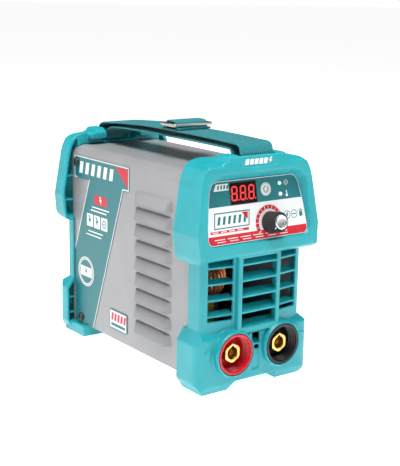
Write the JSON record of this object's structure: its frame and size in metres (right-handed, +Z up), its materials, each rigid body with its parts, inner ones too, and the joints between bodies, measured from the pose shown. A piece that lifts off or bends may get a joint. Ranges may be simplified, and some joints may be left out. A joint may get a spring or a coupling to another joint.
{
  "type": "stick welding inverter",
  "caption": "Small shoulder-strap welding power source: folded steel cover, moulded end bezels, sloped control panel, twist-lock outputs and electronics inside.",
  "frame": {"origin": "on the floor, at the middle of the machine's footprint box", "axes": "+X to the right of someone facing the control panel, +Y from the control panel towards the rear, +Z up"},
  "size_m": [0.1104, 0.2208, 0.1869],
  "materials": {
    "aluminium": "extruded aluminium",
    "black_plastic": "black moulded plastic",
    "brass": "machined brass",
    "buckle_metal": "nickel-plated pressed steel",
    "capacitor_sleeve": "shrunk plastic sleeve",
    "circuit_board": "green solder-masked glass-fibre board",
    "copper": null,
    "display_lens": "black display behind a clear window",
    "ferrite": "dark grey ferrite",
    "fibre_board": "pressed insulating board",
    "led_lens": "milky white lens",
    "painted_steel": "grey semi-gloss powder coat",
    "printed_label": "printed polyester label, teal ground",
    "red_plastic": "red moulded plastic",
    "silver_cap": "spun aluminium knob cap",
    "teal_abs": "satin moulded ABS, teal",
    "webbing": "woven polyester webbing, teal",
    "winding_tape": "yellow insulating tape",
    "zinc_steel": "zinc-plated steel"
  },
  "bodies": {
    "machine": {"base_tray": "zinc_steel", "board_standoff_front_left": "zinc_steel", "board_standoff_front_right": "zinc_steel", "board_standoff_rear_left": "zinc_steel", "board_standoff_rear_right": "zinc_steel", "bridge_rectifier": "black_plastic", "bulk_capacitor_1": "capacitor_sleeve", "bulk_capacitor_2": "capacitor_sleeve", "busbar_negative": "copper", "busbar_positive": "copper", "cable_gland": "black_plastic", "casing_cover": "painted_steel", "casing_screw_left_lower": "black_plastic", "casing_screw_left_upper": "black_plastic", "casing_screw_right_lower": "black_plastic", "casing_screw_right_upper": "black_plastic", "choke_core": "ferrite", "choke_pad": "fibre_board", "choke_winding": "copper", "control_board": "circuit_board", "display_module": "display_lens", "fan_frame": "black_plastic", "front_bezel": "teal_abs", "gland_nut": "black_plastic", "heatsink_primary": "aluminium", "heatsink_secondary": "aluminium", "igbt_1": "black_plastic", "igbt_2": "black_plastic", "indicator_overheat": "led_lens", "indicator_power": "led_lens", "main_board": "circuit_board", "output_diode_1": "black_plastic", "output_diode_2": "black_plastic", "panel_overlay": "printed_label", "potentiometer": "zinc_steel", "rear_bezel": "teal_abs", "side_label_left": "printed_label", "side_label_right": "printed_label", "socket_insert_negative": "brass", "socket_insert_positive": "brass", "socket_nut_negative": "zinc_steel", "socket_nut_positive": "zinc_steel", "socket_shroud_negative": "black_plastic", "socket_shroud_positive": "red_plastic", "soft_start_relay": "black_plastic", "strap_webbing": "webbing", "switch_housing": "black_plastic", "transformer_core": "ferrite", "transformer_winding": "winding_tape"},
    "knob": {"knob_body": "black_plastic", "knob_cap": "silver_cap", "knob_shaft": "zinc_steel"},
    "fan": {"fan_rotor": "black_plastic"},
    "rocker": {"switch_rocker": "red_plastic"},
    "buckle": {"strap_buckle": "buckle_metal", "buckle_fold": "webbing"}
  },
  "joints": [
    {"name": "knob_turn", "type": "hinge", "parent": "machine", "child": "knob", "pos_m": [0.0103, -0.09513, 0.12128], "axis": [0, -0.9813, 0.1925], "range_deg": [-150, 150]},
    {"name": "fan_spin", "type": "hinge", "parent": "machine", "child": "fan", "pos_m": [0, 0.08314, 0.072], "axis": [0, 1, 0], "continuous": true},
    {"name": "rocker_tip", "type": "hinge", "parent": "machine", "child": "rocker", "pos_m": [-0.02, 0.09774, 0.126], "axis": [1, 0, 0], "range_deg": [-18, 0]},
    {"name": "buckle_slide", "type": "slide", "parent": "machine", "child": "buckle", "axis": [0, 1, 0], "range_m": [-0.012, 0.012]}
  ]
}
